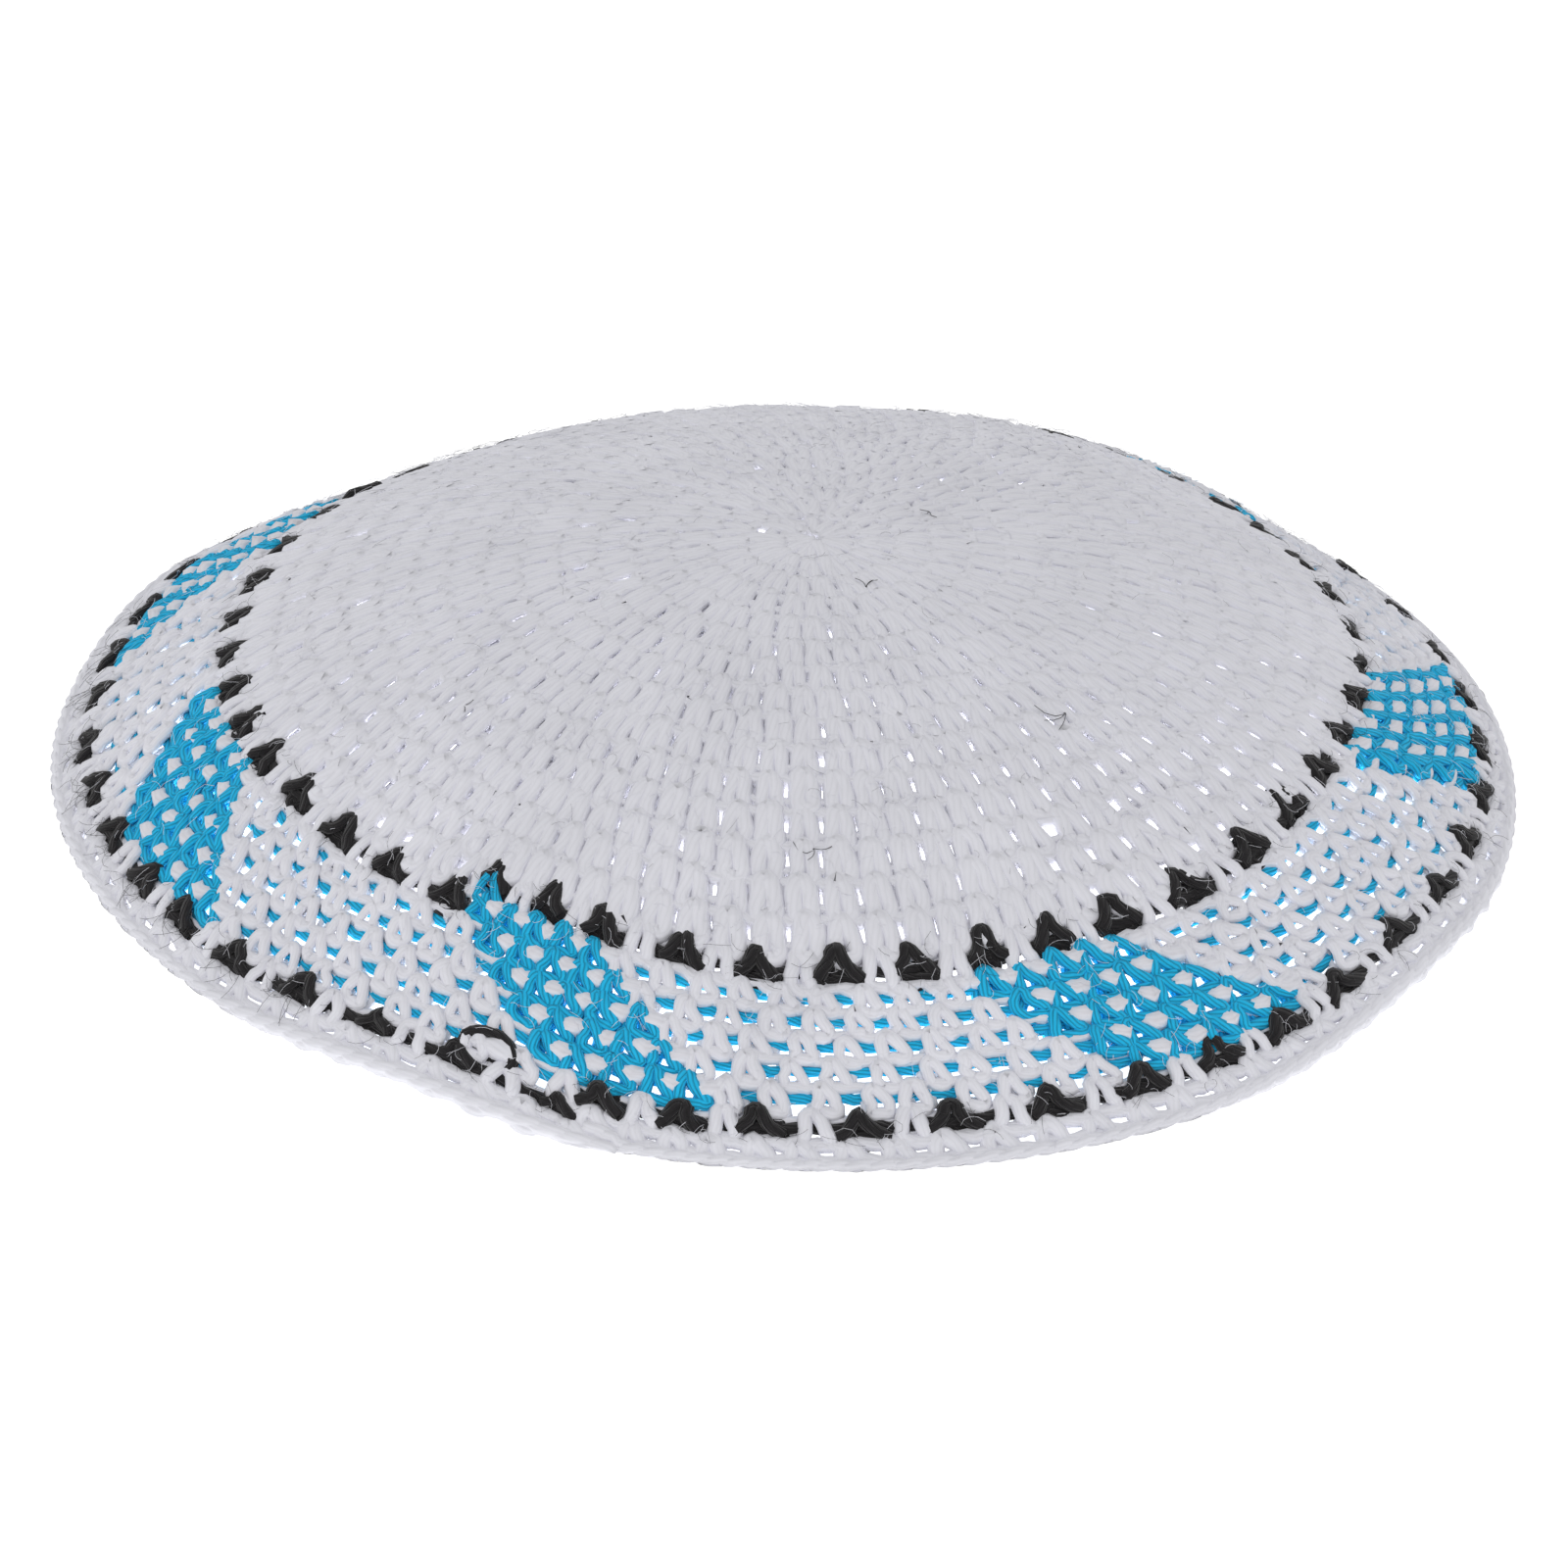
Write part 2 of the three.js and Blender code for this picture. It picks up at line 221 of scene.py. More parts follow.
# Middle of the carried strand's swing in a stitch, and the chance part of its place and height.
CARRIED_MIDDLE = 0.16
CARRIED_PLACE_SPREAD = 0.03
CARRIED_HEIGHT_SPREAD = 0.05

# Shares of the border yarns' thickness in the dashed rounds and the edge.
PLAIN_THICK = 1.05
LAST_DASH_THICK = 0.85
EDGE_THICK = 1.30

# Seam: the column that the small last dashes follow, the black loop's column and the white strand in it,
# and the radii in mm of that loop and of the loose blue one.
LAST_DASHES_FROM = 90
START_COLUMN = -1.6
START_WHITE_SPAN = (-2.0, -1.0)
START_RADIUS = 0.85
LOOSE_BLUE_RADIUS = 0.6

# The fields' white strands thicken round the cap from the angle where they are loosest, by this share at a
# quarter turn.
FIELD_TIGHT = 0.10
FIELD_LOOSE_ANGLE = 275

# Rope along the rim, of two strands: their place in the round and height in mm, the swing of each, and
# their radius in mm.
ROPE_PLACE, ROPE_PLACE_SWING = 0.82, 0.08
ROPE_HEIGHT, ROPE_HEIGHT_SWING = -1.0, 0.14
ROPE_RADIUS = 0.95

# Loose fibres: arc length that none passes, the height they start from, their least and greatest rise, the
# spread of their bend in radians, and the least radius that their turns are reckoned with.
FIBRE_END = 102.6
FIBRE_DEPTH = -0.30
FIBRE_RISE = (0.3, 0.9)
FIBRE_BEND = 1.0
FIBRE_CENTRE = 6.0

# Dark fibres caught on the crown: arc length, angle, length and direction of each.
STRAYS = np.array([
    (18.0, 32, 1.8, 200), (13.8, 300, 2.0, 150), (46.3, 315, 4.2, 320), (60.3, 271.5, 2.4, 40),
    (53.8, 216, 1.5, 90),
])
STRAY_STRANDS = 3

# Kinds of loose fibre: least and greatest length in mm, the range of headings in degrees from the way
# outwards, and the radius in mm.
Fibre = namedtuple("Fibre", "shortest longest heading_from heading_to radius")
WHITE_FUZZ = Fibre(1.0, 3.4, 0, 360, 0.03)
DASH_FUZZ = Fibre(1.0, 3.6, -100, 100, 0.022)
DASH_WHITE_FUZZ = Fibre(1.0, 2.6, 0, 360, 0.025)
TUFT = Fibre(2.5, 5.0, -50, 50, 0.026)
CROWN_DARK = Fibre(0.8, 3.0, 0, 360, 0.014)
STRAY_RADIUS = 0.05

# Arc lengths that the white fuzz and the crown's thin dark fibres reach, and the number of the latter.
FUZZ_REACH = 101
CROWN_DARK_REACH = 70
CROWN_DARK_COUNT = 160

# Fibres of each dash, and where they start: along the round in stitches, outwards in mm from the round below.
DASH_FIBRES = 7
DASH_ALONG = (-0.5, 0.9)
DASH_OUT = (0.0, 4.0)

# Dashes on the left of the outer round with a tuft of black fibres, fibres in each, and where they start:
# along the round in stitches, inwards in mm from the round's top.
TUFT_DASHES = range(73, 90, 2)
TUFT_FIBRES = 8
TUFT_ALONG = (-0.4, 0.7)
TUFT_IN = (0.5, 2.0)

# Finish of the yarns: painted shade in the grooves between plies as a share of the colour, plies round
# the strand, turns per mm, streak, strength of the relief, sheen.
Finish = namedtuple("Finish", "groove plies twist streak bump sheen")
WHITE_FINISH = Finish(0.94, 9, 0.30, 0.08, 0.22, 0.1)
BLUE_FINISH = Finish(0.50, 8, 0.45, 0.35, 0.9, 0.05)
BLACK_FINISH = Finish(0.4, 9, 0.40, 0.9, 0.9, 0.2)

# Plied pattern: the power that shapes the ridges, the fibre noise across and along the plies, the scale and
# strength of the slow tone, and the shares of ridges and fibres in the relief.
RIDGE_POWER = 0.6
NOISE_ACROSS, NOISE_ALONG, NOISE_DETAIL = 5.0, 0.8, 3.0
TONE_SCALE, TONE_DETAIL, TONE_STRENGTH = 70.0, 2.0, 0.16
RELIEF_RIDGES, RELIEF_FIBRES = 0.7, 0.5

# Shader values that the yarns share, and the depth of the relief in metres.
YARN_ROUGHNESS = 0.85
YARN_SPECULAR = 0.25
SHEEN_ROUGHNESS = 0.5
RELIEF_DEPTH = 0.00025

# Stage, in metres and watts; the lights by name, place, size and power.
FLOOR_HALF = 12.0
FLOOR_LEVEL = -0.0001
FLOOR_GREY = 0.3
SKY_STRENGTH = 0.64
LIGHTS = (("key", (-0.75, -1.1, 1.25), 0.9, 3.0), ("fill", (1.0, -0.5, 1.1), 1.0, 0.2))
INNER_LIGHT_SIZE = 0.16
INNER_LIGHT_POWER = 0.20
INNER_LIGHT_HEIGHT = 0.001

# Camera: tilt and roll in degrees, distance and offsets in mm, focal length over image width, and the
# sensor's width in mm.
CAMERA_TILT = 30.03
CAMERA_ROLL = 1.561
CAMERA_DISTANCE = 892.39
CAMERA_RIGHT = -0.86
CAMERA_RISE = -3.138
CAMERA_LIFT = 1.245
CAMERA_LENS = 7001.0 / 1600
SENSOR_WIDTH = 36.0


def profile_height(r):
    """Height of the meridian: a polynomial in the square of the radius, zero at the rim."""
    q = (r / RIM_RADIUS) ** 2
    rest = 1 - PROFILE_SQUARE - PROFILE_FOURTH
    return CROWN_HEIGHT * (1 - PROFILE_SQUARE * q - PROFILE_FOURTH * q ** 2 - rest * q ** 3)


ARC_R = np.linspace(0, RIM_RADIUS * ARC_PAST_RIM, ARC_STEPS)
ARC_S = np.concatenate([[0], np.cumsum(np.hypot(np.diff(ARC_R), np.diff(profile_height(ARC_R))))])


def face_point(s, degrees):
    """Point of the cap's outer face at arc length s: the meridian turned to the angle, stretched
    out of round in proportion to the radius and lifted over the rim's arches by its cube."""
    r = np.interp(s, ARC_S, ARC_R)
    share = r / RIM_RADIUS
    angle = np.radians(degrees)
    stretch = 1 + share * sum(c * np.cos(k * angle) + d * np.sin(k * angle) for k, c, d in OUT_OF_ROUND)
    away = [np.abs((degrees - a + 180) % 360 - 180) / w for a, w, _ in RIM_ARCHES]
    lift = sum(h * np.cos(np.pi / 2 * np.minimum(d, 1)) ** 2 for d, (_, _, h) in zip(away, RIM_ARCHES))
    return np.stack([
        r * stretch * np.cos(angle) + CROWN_SHIFT_X * (1 - share ** 2),
        r * stretch * np.sin(angle),
        profile_height(r) + lift * share ** 3,
    ], -1)


def column_angle(column):
    """Angle of a stitch column in the first border round, straight between the blocks' ends; a
    column past the end of a round is one turn on."""
    turn = np.floor(column / STITCHES)
    within = column - turn * STITCHES
    return np.interp(within, COLUMN_ANGLE[:, 0], COLUMN_ANGLE[:, 1]) + turn * (360 + ROUND_LEAN)


def line_arc(line, column):
    """Arc length of the top of a round at a column; past its last stitch a round runs on as the
    next one, so the rounds make one spiral."""
    turn = np.floor(column / STITCHES)
    within = column - turn * STITCHES
    line = line + turn
    inner = np.interp(within, WAVES[:, 0], WAVES[:, 1])
    outer = np.interp(within, WAVES[:, 0], WAVES[:, 2])
    return (np.interp(line, LINES, LINE_ARC) + inner * np.interp(line, LINES, LINE_INNER)
            + outer * np.interp(line, LINES, LINE_OUTER))


RIM_BOX = face_point(np.interp(RIM_RADIUS, ARC_R, ARC_S),
                     column_angle(np.arange(STITCHES)) + ROUND_LEAN * OUTER_DASH)
CENTRE = (RIM_BOX.min(0) + RIM_BOX.max(0)) / 2 * (1, 1, 0)


def on_cloth(s, degrees, height):
    """Points a height above the outer face, along its normal, and that normal; metres, with the
    origin at the middle of the rim."""
    at = np.maximum(s, NORMAL_FROM)
    along = face_point(at + NORMAL_STEP, degrees) - face_point(at - NORMAL_STEP, degrees)
    across = face_point(at, degrees + NORMAL_STEP) - face_point(at, degrees - NORMAL_STEP)
    normal = np.cross(along, across)
    normal /= np.linalg.norm(normal, axis=-1, keepdims=True)
    point = face_point(np.maximum(s, POINT_FROM), degrees) + height[..., None] * normal - CENTRE
    return point * MM, normal


def border_place(column, line, strand):
    """Strands (stitches, samples, 3) of border rounds: the first value runs along the round from
    the stitch's column, the second from the round below (0) to its own top (1)."""
    u, v, n = np.moveaxis(strand, -1, 0)
    c = column[:, None] + u
    top = line[:, None]
    degrees = column_angle(c) + ROUND_LEAN * (top - 2)
    s = (1 - v) * line_arc(top - 1, c) + v * line_arc(top, c - LEAN_STITCHES)
    return on_cloth(s, degrees, n)


def crown_count(k):
    """Stitches of crown round k: eight more in each round while the crown is flat, then four more, up
    to the border's number."""
    return np.minimum(8 * k, 4 * k + STITCHES - 4 * CROWN_ROUNDS)


CROWN_STEP = np.append(CROWN_STAGGER * 360 / np.maximum(crown_count(np.arange(CROWN_ROUNDS + 1)), 1),
                       ROUND_LEAN)
CROWN_TURN = np.cumsum(CROWN_STEP[:-1])


def crown_waviness(k):
    """How far crown round k takes on the waves of the border, from none to all at the last round."""
    return np.clip((k - WAVY_FROM) / (CROWN_ROUNDS - WAVY_FROM), 0, 1)


def crown_line(k, share):
    """Arc length of the top of crown round k at a share of the turn: an even spiral near the
    centre that takes on the waves of the inner dashed round towards the border."""
    turn = np.floor(share)
    within = share - turn
    k = k + turn
    wavy = crown_waviness(k)
    pitch = CROWN_END / (CROWN_ROUNDS + CENTRE_RING)
    inner = np.interp(within * STITCHES, WAVES[:, 0], WAVES[:, 1])
    return pitch * (k + CENTRE_RING) + (1 - wavy) * pitch * (within - 0.5) + wavy * inner


def crown_place(index, k, strand):
    """Strands of crown rounds, as for the border but with the round's own number of stitches; each
    round is turned on by a share of a stitch."""
    u, v, n = np.moveaxis(strand, -1, 0)
    count = crown_count(k)[:, None]
    share = (index[:, None] + u) / count
    rounds = k[:, None]
    wavy = crown_waviness(rounds)
    turn = CROWN_TURN[rounds] - CROWN_TURN[-1] - 2 * ROUND_LEAN
    even = SEAM_ANGLE + (360 + CROWN_STEP[rounds + 1]) * share
    degrees = (1 - wavy) * even + wavy * column_angle(share * STITCHES) + turn
    s = (1 - v) * crown_line(rounds - 1, share) + v * crown_line(rounds, share - LEAN_STITCHES / count)
    return on_cloth(s, degrees, n)


def smooth_loop(controls, samples):
    """Closed Catmull-Rom curves through rows of control points (curves, points, 3)."""
    count = controls.shape[1]
    t = np.arange(samples) * count / samples
    i = t.astype(int)
    f = (t - i)[None, :, None]
    p0, p1, p2, p3 = (controls[:, (i + d) % count] for d in (-1, 0, 1, 2))
    return 0.5 * (2 * p1 + (p2 - p0) * f + (2 * p0 - 5 * p1 + 4 * p2 - p3) * f ** 2
                  + (3 * p1 - p0 - 3 * p2 + p3) * f ** 3)


class Skein:
    """Tubes of yarn gathered into one mesh, with a UV map along and round the strand."""

    def __init__(self):
        self.points, self.loops, self.totals, self.yarn, self.cells = [], [], [], [], []
        self.base = 0
        self.tubes = 0

    def add(self, path, up, radius, sides, closed, flat=1.0):
        """Tubes (tubes, samples, 3) of a radius: an oval ring of points in the plane across the path
        at every sample, upright along the surface normal and flattened that way by a share, and
        pressed flat where the strand rests on the table."""
        tubes, samples = path.shape[:2]
        if closed:
            tangent = np.roll(path, -1, 1) - np.roll(path, 1, 1)
        else:
            tangent = np.gradient(path, axis=1)
        tangent /= np.linalg.norm(tangent, axis=-1, keepdims=True)
        side = np.cross(tangent, up)
        side /= np.linalg.norm(side, axis=-1, keepdims=True)
        top = np.cross(side, tangent)
        turn = 2 * np.pi * np.arange(sides) / sides
        radius = np.broadcast_to(np.asarray(radius, float), (tubes, samples))[..., None, None] * MM
        ring = np.cos(turn)[:, None] * side[:, :, None] + flat * np.sin(turn)[:, None] * top[:, :, None]
        points = (path[:, :, None] + radius * ring).reshape(-1, 3)
        points[:, 2] = np.maximum(points[:, 2], 0)
        self.points.append(points)

        spans = samples if closed else samples - 1
        m, k, j = np.meshgrid(np.arange(tubes), np.arange(spans), np.arange(sides), indexing="ij")
        corner_k = np.stack([k, k + 1, k + 1, k], -1)
        corner_j = np.stack([j, j, j + 1, j + 1], -1)
        quad = (m[..., None] * samples + corner_k % samples) * sides + corner_j % sides + self.base
        self.loops.append(quad.reshape(-1))
        self.totals.append(np.full(quad.size // 4, 4))

        step = np.linalg.norm(np.roll(path, -1, 1) - path, axis=-1) / MM
        length = np.concatenate([np.zeros((tubes, 1)), np.cumsum(step, 1)], 1)
        start = PLY_STEP * (np.arange(tubes) + self.tubes) % PLY_REPEAT
        along = (length + start[:, None])[m[..., None], corner_k]
        self.yarn.append(np.stack([along, corner_j / sides], -1).reshape(-1, 2))
        cell = np.broadcast_to(m[..., None] + self.tubes, corner_k.shape)
        within = 1 - 2 * CELL_EDGE
        self.cells.append(np.stack([cell, CELL_EDGE + within * corner_k / spans,
                                    CELL_EDGE + within * corner_j / sides], -1).reshape(-1, 3))
        if not closed:
            for k_end, order, centre in ((0, -1, CELL_CAPS[0]), (samples - 1, 1, CELL_CAPS[1])):
                self.close_end(k_end, order, centre, start, tubes, samples, sides)
        self.base += tubes * samples * sides
        self.tubes += tubes

    def close_end(self, k_end, order, centre, start, tubes, samples, sides):
        """Caps on one end of open tubes: the ring of points there as one polygon, turned to face out."""
        rim = np.arange(sides)[::order]
        cap = (np.arange(tubes)[:, None] * samples + k_end) * sides + rim + self.base
        self.loops.append(cap.reshape(-1))
        self.totals.append(np.full(tubes, sides))
        self.yarn.append(np.stack([np.repeat(start, sides), np.tile(rim / sides, tubes)], -1))
        angle = 2 * np.pi * rim / sides
        disc = centre + CELL_CAP_RADIUS * np.stack([np.cos(angle), np.sin(angle)], -1)
        cell = np.repeat(np.arange(tubes) + self.tubes, sides)[:, None]
        self.cells.append(np.concatenate([cell, np.tile(disc, (tubes, 1))], 1))

    def piece(self, name, material):
        """The gathered tubes as one smooth object at the origin."""
        points = np.concatenate(self.points).astype(np.float32)
        loops = np.concatenate(self.loops).astype(np.int32)
        totals = np.concatenate(self.totals).astype(np.int32)
        starts = np.concatenate([[0], np.cumsum(totals)[:-1]]).astype(np.int32)
        mesh = bpy.data.meshes.new(name)
        mesh.vertices.add(len(points))
        mesh.vertices.foreach_set("co", points.ravel())
        mesh.loops.add(len(loops))
        mesh.loops.foreach_set("vertex_index", loops)
        mesh.polygons.add(len(totals))
        mesh.polygons.foreach_set("loop_start", starts)
        mesh.polygons.foreach_set("loop_total", totals)
        mesh.polygons.foreach_set("use_smooth", np.ones(len(totals), bool))
        yarn = np.concatenate(self.yarn).astype(np.float32)
        mesh.uv_layers.new(name="yarn").data.foreach_set("uv", yarn.ravel())
        cells = np.concatenate(self.cells)
        grid = math.ceil(math.sqrt(self.tubes))
        bake = np.stack([(cells[:, 0] % grid + cells[:, 1]) / grid,
                         (cells[:, 0] // grid + cells[:, 2]) / grid], -1).astype(np.float32)
        mesh.uv_layers.new(name="OFBake").data.foreach_set("uv", bake.ravel())
        mesh.update()
        mesh.validate()
        mesh.materials.append(material)
        obj = bpy.data.objects.new(name, mesh)
        bpy.context.scene.collection.objects.link(obj)
        return obj


def settle(obj, slot, *nodes):
    """The piece goes with the cap's one body and stands for CAD nodes, whose parts are hidden; the slot is
    not used.
    """
    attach(obj, "root")
    if nodes:
        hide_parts(*nodes)


def varied(loop, count, rng, spread):
    """Copies of a stitch's control points, each a little different, as hand work is."""
    whole = rng.normal(0, 1, (count, 1, 3)) * STITCH_SPREAD * spread
    each = rng.normal(0, 1, (count, len(loop), 3)) * POINT_SPREAD * spread
    return loop[None] + whole + each


def add_stitches(skein, place, a, b, stitch, radius, rng):
    """Front loops of stitches, fuller by a share at top and bottom than in the legs, and behind them
    the strands of a back radius and width that show on the inside."""
    strand = smooth_loop(varied(stitch.loop, len(a), rng, stitch.spread), FRONT_SAMPLES)
    path, up = place(a, b, strand)
    fullness = 1 + stitch.full * np.cos(4 * np.pi * np.arange(FRONT_SAMPLES) / FRONT_SAMPLES)
    thick = radius * (1 + THICKNESS_SPREAD * rng.normal(0, 1, (len(a), 1))) * fullness
    skein.add(path, up, thick, FRONT_SIDES, True, stitch.flat)
    if stitch.back:
        back = varied(BACK_LOOP * (stitch.wide, 1, 1), len(a), rng, stitch.spread)
        path, up = place(a, b, smooth_loop(back, BACK_SAMPLES))
        skein.add(path, up, stitch.back, BACK_SIDES, True)


def add_carried(skein, place, line, start, end, kind, rng):
    """A strand of a kind carried inside a round from one column to another; within each stitch it
    lies nearer the round below, deeper and thinner than between stitches, by a cosine of one turn per
    stitch."""
    start = start + kind.first
    end = end + kind.last
    samples = max(CARRIED_LEAST, int((end - start) * CARRIED_SAMPLES))
    u = np.linspace(start, end, samples)
    wave = np.cos(2 * np.pi * (u - CARRIED_MIDDLE))
    v = kind.place - kind.sway * wave + CARRIED_PLACE_SPREAD * rng.normal(0, 1, samples)
    n = kind.height - kind.swell * wave + CARRIED_HEIGHT_SPREAD * rng.normal(0, 1, samples)
    strand = np.stack([u, v, n], -1)
    path, up = place(np.zeros(1), np.full(1, line), strand[None])
    skein.add(path, up, kind.radius * (1 - 0.5 * kind.swell * wave)[None], CARRIED_SIDES, False)


def add_fibres(skein, s, degrees, length, heading, radius, rng):
    """Loose fibres: from each place on the cloth a fibre of a length sets off in a heading, turns
    evenly to one side and rises a little way out of the yarn, as the square root of its length."""
    t = np.linspace(0, 1, FIBRE_SAMPLES)
    course = np.radians(heading)[:, None] + rng.normal(0, FIBRE_BEND, (len(s), 1)) * t
    run = length[:, None] * t
    around = np.maximum(np.interp(s, ARC_S, ARC_R), FIBRE_CENTRE)[:, None]
    height = FIBRE_DEPTH + rng.uniform(*FIBRE_RISE, (len(s), 1)) * np.sqrt(t)
    reach = np.minimum(s[:, None] + run * np.cos(course), FIBRE_END)
    path, up = on_cloth(reach, degrees[:, None] + np.degrees(run * np.sin(course) / around), height)
    skein.add(path, up, radius, FIBRE_SIDES, False)


def chance_places(count, reach, rng):
    """Arc lengths and angles of places spread evenly over the cloth out to a reach: the arc length goes
    with the square root of a chance value."""
    s = reach * np.sqrt(rng.uniform(0, 1, count))
    return s, rng.uniform(0, 360, count)


def scatter_fibres(skein, s, degrees, kind, rng, every=1):
    """Loose fibres of a kind, of chance lengths and headings, from every first, second or later one of
    the given places."""
    length = rng.uniform(kind.shortest, kind.longest, len(s))
    heading = rng.uniform(kind.heading_from, kind.heading_to, len(s))
    add_fibres(skein, s[::every], degrees[::every], length[::every], heading[::every], kind.radius, rng)


def in_block(column):
    """Whether a stitch column belongs to a blue block."""
    return np.any([(column >= c) & (column < c + n) for c, n, _, _ in BLOCKS], axis=0)


def socket_group(name, inputs, outputs):
    """An empty shader node group with named sockets."""
    group = bpy.data.node_groups.new(name, "ShaderNodeTree")
    for label, kind, value in inputs:
        socket = group.interface.new_socket(label, in_out="INPUT", socket_type=kind)
        socket.default_value = value
    for label, kind in outputs:
        group.interface.new_socket(label, in_out="OUTPUT", socket_type=kind)
    return group


def plied_yarn_group():
    """Plies wound round the strand: ridges at the absolute sine of turns round plus turns along, with painted
    shade in the grooves between them, fine fibres as noise drawn out along the plies, and a slow change of
    tone over the cap."""
    group = bpy.data.node_groups.get("Plied yarn")
    if group:
        return group
    group = socket_group("Plied yarn", [
        ("Yarn Color", "NodeSocketColor", (0.6, 0.6, 0.65, 1)),
        ("Groove Shade Color", "NodeSocketColor", (0.4, 0.4, 0.45, 1)),
        ("Plies", "NodeSocketFloat", 4.0),
        ("Twist", "NodeSocketFloat", 0.35),
        ("Streak", "NodeSocketFloat", 0.25),
    ], [("Color", "NodeSocketColor"), ("Height", "NodeSocketFloat")])
    nodes, links = group.nodes, group.links
    source, result = nodes.new("NodeGroupInput"), nodes.new("NodeGroupOutput")

    def math_node(kind, a, b=None):
        """One arithmetic step on sockets or plain values."""
        node = nodes.new("ShaderNodeMath")
        node.operation = kind
        for i, value in enumerate((a, b)):
            if value is None:
                continue
            if isinstance(value, (int, float)):
                node.inputs[i].default_value = value
            else:
                links.new(value, node.inputs[i])
        return node.outputs[0]

    def noise_node(vector, scale, detail):
        """Noise over a vector."""
        node = nodes.new("ShaderNodeTexNoise")
        node.inputs["Scale"].default_value = scale
        node.inputs["Detail"].default_value = detail
        links.new(vector, node.inputs["Vector"])
        return node.outputs[0]

    uv = nodes.new("ShaderNodeUVMap")
    uv.uv_map = "yarn"
    split = nodes.new("ShaderNodeSeparateXYZ")
    links.new(uv.outputs[0], split.inputs[0])
    along, around = split.outputs[0], split.outputs[1]
    winding = math_node("ADD", math_node("MULTIPLY", around, source.outputs["Plies"]),
                        math_node("MULTIPLY", along, source.outputs["Twist"]))
    swing = math_node("SINE", math_node("MULTIPLY", winding, math.pi))
    ridge = math_node("POWER", math_node("ABSOLUTE", swing), RIDGE_POWER)
    drawn = nodes.new("ShaderNodeCombineXYZ")
    links.new(math_node("MULTIPLY", winding, NOISE_ACROSS), drawn.inputs[0])
    links.new(math_node("MULTIPLY", along, NOISE_ALONG), drawn.inputs[1])
    fibre = noise_node(drawn.outputs[0], 1.0, NOISE_DETAIL)
    place = nodes.new("ShaderNodeTexCoord")
    tone = noise_node(place.outputs["Object"], TONE_SCALE, TONE_DETAIL)

    # Painted shade: between the ply ridges the colour goes over to the darker groove colour.
    blend = nodes.new("ShaderNodeMix")
    blend.data_type = "RGBA"
    links.new(ridge, blend.inputs["Factor"])
    links.new(source.outputs["Groove Shade Color"], blend.inputs["A"])
    links.new(source.outputs["Yarn Color"], blend.inputs["B"])
    streak = math_node("MULTIPLY", math_node("SUBTRACT", fibre, 0.5), source.outputs["Streak"])
    slow = math_node("MULTIPLY", math_node("SUBTRACT", tone, 0.5), TONE_STRENGTH)
    gain = math_node("ADD", math_node("ADD", streak, slow), 1.0)
    scaled = nodes.new("ShaderNodeVectorMath")
    scaled.operation = "SCALE"
    links.new(blend.outputs["Result"], scaled.inputs[0])
    links.new(gain, scaled.inputs["Scale"])
    links.new(scaled.outputs[0], result.inputs["Color"])
    height = math_node("ADD", math_node("MULTIPLY", ridge, RELIEF_RIDGES),
                       math_node("MULTIPLY", fibre, RELIEF_FIBRES))
    links.new(height, result.inputs["Height"])
    return group


def yarn_material(name, color, finish):
    """A matt plied yarn: colour with painted shade in the ply grooves and relief from the plies, a soft sheen
    from its fuzz.
    """
    material = bpy.data.materials.get(name)
    if material:
        return material
    material = bpy.data.materials.new(name)
    material.use_nodes = True
    nodes, links = material.node_tree.nodes, material.node_tree.links
    shader = nodes["Principled BSDF"]
    yarn = nodes.new("ShaderNodeGroup")
    yarn.node_tree = plied_yarn_group()
    yarn.inputs["Yarn Color"].default_value = (*color, 1)
    # Painted shade in the ply grooves: the yarn's colour darkened by the finish's share.
    yarn.inputs["Groove Shade Color"].default_value = (*(color * finish.groove), 1)
    yarn.inputs["Plies"].default_value = finish.plies
    yarn.inputs["Twist"].default_value = finish.twist
    yarn.inputs["Streak"].default_value = finish.streak
    relief = nodes.new("ShaderNodeBump")
    relief.inputs["Strength"].default_value = finish.bump
    relief.inputs["Distance"].default_value = RELIEF_DEPTH
    links.new(yarn.outputs["Height"], relief.inputs["Height"])
    links.new(yarn.outputs["Color"], shader.inputs["Base Color"])
    links.new(relief.outputs[0], shader.inputs["Normal"])
    shader.inputs["Roughness"].default_value = YARN_ROUGHNESS
    shader.inputs["Specular IOR Level"].default_value = YARN_SPECULAR
    shader.inputs["Sheen Weight"].default_value = finish.sheen
    shader.inputs["Sheen Roughness"].default_value = SHEEN_ROUGHNESS
    return material


class SkullcapSettings(bpy.types.PropertyGroup):
    """Sizes and colours of the cap's yarns."""

    white: FloatVectorProperty(
        name="White yarn", description="Colour of the ground yarn", subtype="COLOR",
        default=(0.87, 0.87, 0.93), min=0, max=1)
    blue: FloatVectorProperty(
        name="Blue yarn", description="Colour of the blocks", subtype="COLOR",
        default=(0.02, 0.60, 1.0), min=0, max=1)
    black: FloatVectorProperty(
        name="Black yarn", description="Colour of the dashes", subtype="COLOR",
        default=(0.018, 0.016, 0.018), min=0, max=1)
    crown_radius: FloatProperty(
        name="Crown strand", description="Half the thickness of the crown's yarn, in mm",
        default=1.26, min=0.3, max=1.5)
    border_radius: FloatProperty(
        name="Border strand", description="Half the thickness of the border's white yarn, in mm",
        default=0.87, min=0.3, max=1.2)
    blue_radius: FloatProperty(
        name="Blue strand", description="Half the thickness of the blue yarn, in mm",
        default=0.80, min=0.3, max=1.2)
    black_radius: FloatProperty(
        name="Black strand", description="Half the thickness of the black yarn, in mm",
        default=0.86, min=0.3, max=1.2)
    fuzz: IntProperty(
        name="Loose fibres", description="Number of loose fibres on the white yarn",
        default=2500, min=0, max=4000)
    seed: IntProperty(
        name="Hand", description="Seed of the small differences between stitches", default=7, min=0)


